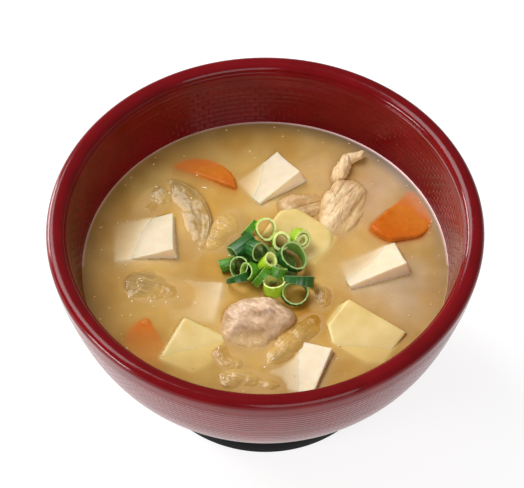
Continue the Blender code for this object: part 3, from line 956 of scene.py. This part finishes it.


# Painted patches of shade and light on the soup: place and reach in millimetres, and the tint. The darker, amber ones
# lie in the shade beside pieces, the paler, bluer ones where more light falls.
SHADE_AND_LIGHT_PATCHES = (
    (13.5, -18.0, 7, (0.75, 0.62, 0.20)),
    (19.3, 11.6, 4, (0.80, 0.62, 0.40)),
    (-4.5, 22.7, 7, (1.08, 1.13, 1.35)),
    (-38.0, 30.0, 8, (1.15, 1.25, 1.30)),
    (-24.0, -3.0, 6, (0.86, 0.84, 0.88)),
    (-22.4, 7.0, 5, (0.74, 0.68, 0.62)),
    (37.0, -8.0, 14, (0.93, 1.05, 2.1)),
    (30.0, 27.0, 11, (1.06, 1.12, 2.1)),
)
# Painted shade in a band near the wall at the back right, and a painted highlight along the soup's edge at the wall:
# where it starts, as a share of the brim's radius, and its colour.
BAND_SHADE = np.array((0.50, 0.45, 0.10))
BRIM_GLINT = 0.991
GLINT = np.array((0.95, 0.66, 0.66))


def soup_colour(co):
    """The soup's colour, with painted light and shade: amber drifts through it, painted shade dims it near the wall
    except in front, painted patches darken or lighten it, and a painted highlight runs along its edge at the back.
    """
    out = np.hypot(co[:, 0], co[:, 1]) / brim_radius()
    heading = np.arctan2(co[:, 1], co[:, 0])
    edge = np.clip((out - 0.5) / 0.5, 0, 1) ** 1.3
    left = edge * (0.5 + 0.5 * np.cos(heading - math.radians(185))) ** 1.5
    right = edge * (0.5 + 0.5 * np.cos(heading - math.radians(50)))
    amber = np.clip(0.25 + 0.9 * noise_at(co, 11 * MM, 90) + 0.4 * noise_at(co, 4 * MM, 91), 0, 0.8)
    base = SOUP * (1 - amber)[:, None] + SOUP_AMBER * amber[:, None]
    # painted shade near the wall, to the left and to the right and back
    base = base * (1 - left[:, None] * LEFT_SHADE) * (1 - right[:, None] * RIGHT_SHADE)
    # painted patches of shade and light
    for x, y, reach, tint in SHADE_AND_LIGHT_PATCHES:
        near = np.exp(-((co[:, 0] - x * MM) ** 2 + (co[:, 1] - y * MM) ** 2) / (reach * MM) ** 2)
        base = base * (1 + near[:, None] * (np.array(tint) - 1))
    # painted shade in a band near the wall at the back right
    back_right = np.clip(np.cos(heading - math.radians(48)), 0, 1) ** 3
    base = base * (1 - (np.clip((out - 0.91) / 0.07, 0, 1) * back_right)[:, None] * BAND_SHADE)
    # painted highlight: a pale pink line along the soup's edge at the back, brightest at the back right
    glint = (0.25 + 0.75 * back_right) * np.clip((out - BRIM_GLINT) / 0.004, 0, 1) * (co[:, 1] > 0)
    base = base * (1 - glint[:, None]) + GLINT * glint[:, None]
    return base * (1 + 0.10 * noise_at(co, 7 * MM, 92))[:, None]


def tree_of(pieces):
    """One search tree over all pieces, and each face's piece."""
    points, faces, owner = [], [], []
    for n, (piece, *_) in enumerate(pieces):
        start = len(points)
        points.extend(tuple(v.co) for v in piece.data.vertices)
        faces.extend([start + i for i in face.vertices] for face in piece.data.polygons)
        owner.extend([n] * len(piece.data.polygons))
    return BVHTree.FromPolygons(points, faces), owner


def seen_through(co, pieces):
    """How much of each vertex's colour comes from what lies below it, and that colour, painted lighter or darker by how
    the key light would fall on the face below (painted light and shade).
    """
    tree, owner = tree_of(pieces)
    colours = np.array([colour for _, colour, _ in pieces])
    shown = [1 - film for _, _, film in pieces]
    side = SIGHT.cross(Vector((1, 0, 0))).normalized()
    ways = [((SIGHT + Vector((1, 0, 0)) * a + side * b).normalized(), weight) for a, b, weight in SPREAD]
    share, colour = np.zeros(len(co)), np.zeros((len(co), 3))
    for n, p in enumerate(co):
        point = Vector(p)
        for way, weight in ways:
            _, normal, face, distance = tree.ray_cast(point, way)
            if face is None:
                continue
            inside = normal.dot(way) > 0
            if distance > REACH and not inside:
                continue
            left = weight * shown[owner[face]] * (1.0 if inside else math.exp(-distance / SEES))
            # painted light and shade: brighter within a piece, and by how the face below faces the key light
            lit = 1.05 if inside else 0.72 + 0.33 * light_on(normal)
            share[n] += left
            colour[n] += colours[owner[face]] * (left * lit)
    colour /= np.maximum(share, 1e-9)[:, None]
    return share, colour


CONTACT_REACH = 1.5 * MM
CONTACT_SLOPE = math.radians(28)
CONTACT_WAYS = 8
CONTACT_STEEP = 0.6  # faces that lean back more than this cast no shade beside them
CONTACT_SHADE = np.array((0.42, 0.55, 0.75))
CAST_SHADE = np.array((0.02, 0.10, 0.35))


def painted_shade_from_pieces(co, pieces):
    """Painted shade from the raised pieces on the soup's colour: darker right beside them, and amber where they stand
    between the soup and the key light.
    """
    tree, _ = tree_of(pieces)
    key = Vector(KEY_PLACE).normalized()
    level, up = math.cos(CONTACT_SLOPE), math.sin(CONTACT_SLOPE)
    around = []
    for k in range(CONTACT_WAYS):
        heading = math.tau * k / CONTACT_WAYS
        around.append(Vector((level * math.cos(heading), level * math.sin(heading), up)))
    towards_key = [key, key + Vector((0.25, 0, 0)), key + Vector((-0.25, 0, 0)), key + Vector((0, -0.25, 0))]
    contact, cast = np.zeros(len(co)), np.zeros(len(co))
    for n, p in enumerate(co):
        point = Vector(p)
        for way in around:
            _, normal, face, distance = tree.ray_cast(point, way, CONTACT_REACH)
            if face is not None and normal.dot(way) < 0 and normal.z < CONTACT_STEEP:
                contact[n] += (1 - distance / CONTACT_REACH) * 2 / CONTACT_WAYS
        for way in towards_key:
            _, normal, face, _ = tree.ray_cast(point, way, 14 * MM)
            if face is not None and normal.dot(way) < 0:
                cast[n] += 1 / len(towards_key)
    contact = np.clip(contact, 0, 1)
    return (1 - contact[:, None] * CONTACT_SHADE) * (1 - cast[:, None] * CAST_SHADE)


def make_soup(look, sunk, heap):
    radius = brim_radius() + INTO_WALL
    shore = 0.6 * MM
    top = [((radius - shore) * k / SOUP_RINGS, LEVEL) for k in range(SOUP_RINGS + 1)]
    top += [(radius - shore * (1 - k / 5), LEVEL) for k in range(1, 6)]
    side = [(r + INTO_WALL, z) for r, z in inner_wall()[::-3] if z < LEVEL - 0.8 * MM and r > 0]
    profile = top + side + [(0.0, 12.5 * MM - INTO_WALL)]
    soup = turned("soup_surface", profile, SOUP_STEPS)
    co = points_of(soup)
    on_top = np.abs(co[:, 2] - LEVEL) < 0.01 * MM
    base = soup_colour(co)
    share, colour = seen_through(co[on_top], sunk)
    base[on_top] = base[on_top] * (1 - share)[:, None] + colour * share[:, None]
    base[on_top] *= painted_shade_from_pieces(co[on_top], sunk + heap)
    out = np.hypot(co[on_top, 0], co[on_top, 1])
    co[on_top, 2] += 0.16 * MM * np.exp(-(radius - out) / (0.14 * MM))
    set_points(soup, co)
    paint(soup, base)
    smooth(soup, 60)
    finish_piece(soup, "broth", look, "soup")


# ---- small bubbles near the wall

BUBBLES = 90


def make_bubbles(look):
    spots = []
    for n in range(BUBBLES):
        a = noise.random_vector()
        heading = math.tau * (n * 0.381966 + 0.02 * a.x)
        out = brim_radius() * (0.97 - 0.42 * abs(a.y) ** 1.6)
        size = (0.16 + 0.2 * abs(a.z)) * MM
        spots.append((out * math.cos(heading), out * math.sin(heading), size))
    made = []
    for x, y, size in spots:
        bpy.ops.mesh.primitive_ico_sphere_add(subdivisions=2, radius=size, location=(x, y, LEVEL))
        bubble = named("bubble")
        edit(bubble)
        bpy.ops.transform.resize(value=(1, 1, 0.55))
        done()
        only(bubble)
        bpy.ops.object.transform_apply(location=True, rotation=True, scale=True)
        made.append(bubble)
    bubbles = joined(made)
    bubbles.name = bubbles.data.name = "bubbles"
    smooth(bubbles)
    finish_piece(bubbles, "broth", look)


# ---- painted highlights: pale drops where wet edges glint

# Place on the soup, length, width and heading, in millimetres and degrees.
GLINT_DROPS = [
    (-37.6, -5.3, 1.2, 0.5, 20), (-37.1, -6.1, 0.7, 0.5, 0), (-38.3, -6.6, 0.6, 0.4, 60), (-37.9, -8.0, 0.9, 0.7, 80),
    (-41.3, -8.2, 2.6, 0.3, 88), (-40.7, -11.4, 1.6, 0.4, 110), (-39.8, -13.0, 1.1, 0.5, 130),
    (-34.1, -12.8, 1.4, 0.4, 80), (-33.3, -14.8, 0.6, 0.5, 0), (-29.6, -13.3, 1.1, 0.4, 70), (-26.1, -11.4, 0.7, 0.5, 30),
    (-20.8, -13.6, 0.9, 0.3, 85), (-40.1, -18.0, 0.8, 0.4, 70),
    (-33.2, 29.9, 1.5, 0.4, -15), (-31.2, 29.2, 1.6, 0.4, -25), (-29.3, 27.5, 1.5, 0.35, -50),
    (-28.2, 28.6, 1.6, 0.4, 80), (-22.4, 24.9, 0.9, 0.4, -60),
    (-14.3, 15.7, 1.3, 0.35, 75), (-14.3, 13.6, 0.9, 0.4, 60), (-14.7, 12.3, 1.4, 0.3, 30), (-15.1, 10.3, 1.5, 0.3, 40),
    (-16.5, 9.5, 1.2, 0.3, 20), (-15.2, 8.1, 1.0, 0.3, 35),
    (-10.6, 4.0, 1.8, 0.6, 5), (-18.4, 29.6, 2.6, 0.45, -12),
    (-13.8, -30.2, 2.0, 0.5, 85), (-13.9, -32.6, 1.4, 0.4, 80),
    (-12.3, -41.2, 1.2, 0.6, 40), (-11.3, -42.7, 0.9, 0.5, 0), (-10.6, -40.4, 1.1, 0.4, 20), (-6.6, -39.9, 0.6, 0.4, 0),
    (-0.1, -36.9, 1.4, 0.5, 30), (2.4, -34.2, 1.6, 0.4, 45),
]


def make_glint_drops(look, pieces):
    """Pale drops whose colour is a painted highlight. Each drop lies on what is highest at its place: the soup or a
    piece that stands out of it.
    """
    tree, _ = tree_of(pieces)
    made = []
    for x, y, length, width, heading in GLINT_DROPS:
        top = tree.ray_cast(Vector((x * MM, y * MM, 0.1)), Vector((0, 0, -1)))[0]
        z = max(LEVEL, top.z if top else LEVEL)
        bpy.ops.mesh.primitive_ico_sphere_add(subdivisions=3, radius=MM / 2)
        drop = named("drop")
        edit(drop)
        bpy.ops.transform.resize(value=(0.75 * length, 0.75 * width, 0.2))
        done()
        lay_down(drop, pose((x, y, z / MM), (0, 0, heading)))
        made.append(drop)
    glint_drops = joined(made)
    glint_drops.name = glint_drops.data.name = "glint_drops"
    rumple(glint_drops, 0.12 * MM, 0.5 * MM, 77)
    smooth(glint_drops)
    finish_piece(glint_drops, "broth", look)


# ---- the room

KEY_PLACE = (-0.56, 0.52, 0.98)
KEY_SHARE = 0.78  # of the light that falls on a piece facing the key, the rest comes from all round


def light_on(normal):
    """How brightly a face is lit, against one that lies level: a guess at the key light and the light from all round,
    used to paint light and shade onto the soup over sunk pieces.
    """
    key = Vector(KEY_PLACE).normalized()

    def lit(n):
        return KEY_SHARE * max(0.0, n.dot(key)) + (1 - KEY_SHARE) * (0.6 + 0.4 * n.z)

    return lit(normal) / lit(Vector((0, 0, 1)))


def soft_light(name, place, size, power, colour=(1, 1, 1), target=(0, 0, 0.05)):
    light = bpy.data.lights.new(name, "AREA")
    light.shape = "RECTANGLE"
    light.size, light.size_y = size
    light.energy = power
    light.color = colour
    lamp = bpy.data.objects.new(name, light)
    lamp.location = place
    lamp.rotation_euler = (Vector(target) - Vector(place)).to_track_quat("-Z", "Y").to_euler()
    bpy.context.scene.collection.objects.link(lamp)


def make_room():
    bpy.ops.mesh.primitive_plane_add(size=6.0, location=(0, 0, 0))
    floor = named("floor")
    look = Look("pale_floor", 0.6, 0.2)
    look.set("Base Color", (0.35, 0.35, 0.35, 1.0))
    look.set("Emission Color", (1.0, 1.0, 1.0, 1.0))
    look.set("Emission Strength", 0.76)
    floor.data.materials.append(look.material)
    world = bpy.data.worlds.new("studio")
    world.use_nodes = True
    background = world.node_tree.nodes["Background"]
    background.inputs["Color"].default_value = (1.0, 1.0, 1.0, 1.0)
    background.inputs["Strength"].default_value = 0.25
    bpy.context.scene.world = world
    soft_light("key", KEY_PLACE, (0.75, 0.75), 13.5)
    soft_light("front_fill", (0.35, -1.05, 0.75), (0.9, 0.9), 8.5)
    soft_light("left_back_panel", (-1.0, 0.77, 0.29), (0.5, 0.5), 13.0)
    soft_light("left_front_panel", (-1.25, -0.45, 0.25), (0.5, 0.35), 11.0)
    camera = bpy.data.cameras.new("camera")
    camera.sensor_width = 36.0
    camera.lens = 269.8
    camera.clip_start = 0.05
    eye = bpy.data.objects.new("camera", camera)
    eye.location = (-0.00096, -0.6949, 0.9992)
    eye.rotation_euler = (math.radians(90 - 53.567), 0, 0)
    bpy.context.scene.collection.objects.link(eye)
    bpy.context.scene.camera = eye
    bpy.context.scene.view_settings.view_transform = "Standard"


# Colours painted onto the soup over each sunk piece. Tofu, potato and carrot are painted brighter than their own
# colours, as bright as their lit faces look: painted light.
TOFU_SHADE = (0.93, 0.80, 0.56)
POTATO_SHADE = (0.84, 0.63, 0.23)
CARROT_SHADE = (0.60, 0.12, 0.002)
PORK_SHADE = (0.56, 0.36, 0.20)
PORK_CLING = 2.0 * MM
ONION_SHADE = (0.60, 0.38, 0.16)


def main():
    make_bowl()
    tofu_look = food_look(
        "tofu", ((0.3, (0.78, 0.65, 0.45)), (0.7, (0.84, 0.71, 0.52))), 3 * MM, 0.02 * MM, 0.45,
        glow=(0.6, 3.5 * MM),
    )
    potato_look = food_look(
        "potato", ((0.2, (0.70, 0.50, 0.14)), (0.8, (0.86, 0.68, 0.30))), 7 * MM, 0.02 * MM, 0.32,
        detail=2.0, glow=(0.5, 3 * MM),
    )
    carrot_look = food_look(
        "carrot", ((0.25, (0.46, 0.070, 0.001)), (0.75, (0.57, 0.115, 0.002))), 3 * MM, 0.03 * MM, 0.3,
        glow=(0.3, 1.5 * MM), specular=0.12, film_colour=CARROT_FILM,
    )
    pale_pork = pork_look("pale_pork", (0.50, 0.28, 0.12), (0.96, 0.74, 0.46), (0, 0, -60))
    dark_pork = pork_look("dark_pork", (0.44, 0.25, 0.13), (0.88, 0.64, 0.46), (0, 0, 50))
    onion_look = painted_look("onion", 0.24, 0.02 * MM, (2 * MM, 0.4 * MM, 1 * MM), 0.35)
    sunk = []
    for n, (size, centre, turn) in enumerate(TOFU, 1):
        piece = tofu_block(f"tofu_block_{n}", size, centre, turn, n)
        finish_piece(piece, "tofu", tofu_look, f"tofu_{n}")
        sunk.append((piece, TOFU_SHADE, 0.3))
    for n, (size, centre, turn, cuts) in enumerate(POTATO, 1):
        piece = block(f"potato_chunk_{n}", size, centre, turn, cuts, 1.2, 0.05, 10 + n)
        finish_piece(piece, "potato", potato_look, f"potato_{n}")
        sunk.append((piece, POTATO_SHADE, 0.25))
    for n, ((radius, thickness), centre, turn, cuts) in enumerate(CARROT, 1):
        piece = disc(f"carrot_slice_{n}", radius, thickness, centre, turn, cuts, 0.6, 0.2, 20 + n)
        finish_piece(piece, "carrot", carrot_look, *([f"carrot_{n}"] if n < 3 else []))
        sunk.append((piece, CARROT_SHADE, 0.15))
    sunk += [(piece, PORK_SHADE, 0.5) for piece in make_pork(pale_pork, dark_pork)]
    # soup film on each piece; on the upright sides of tofu and potato it is painted light
    for piece, shade, share in sunk:
        if shade is PORK_SHADE:
            wet_and_lit_sides(piece, 0.95, PORK_CLING, 0.5)
        elif shade is CARROT_SHADE:
            wet_and_lit_sides(piece, 0.7, CLING, 0.15)
        else:
            wet_and_lit_sides(piece, share, CLING, 0.6)
    sunk += [(piece, ONION_SHADE, 0.4) for piece in make_onions(onion_look)]
    heap = make_heap(
        painted_look("spring_onion", 0.3, 0.03 * MM, 0.6 * MM),
        food_look("heap_core", ((0.3, (0.05, 0.12, 0.02)), (0.7, (0.3, 0.35, 0.08))), 2 * MM, 0.1 * MM, 0.3),
    )
    make_soup(soup_look(), sunk, [(piece, ONION_SHADE, 0) for piece in heap])
    # pale glossy drops as painted highlights
    make_glint_drops(food_look("glint_drops", ((0.3, (0.90, 0.76, 0.55)), (0.7, (0.97, 0.88, 0.70))), MM, 0.0, 0.12), sunk)
    noise.seed_set(7)
    make_bubbles(food_look("bubble", ((0.3, (0.66, 0.42, 0.17)), (0.7, (0.8, 0.6, 0.3))), MM, 0.0, 0.1))
    make_room()


main()
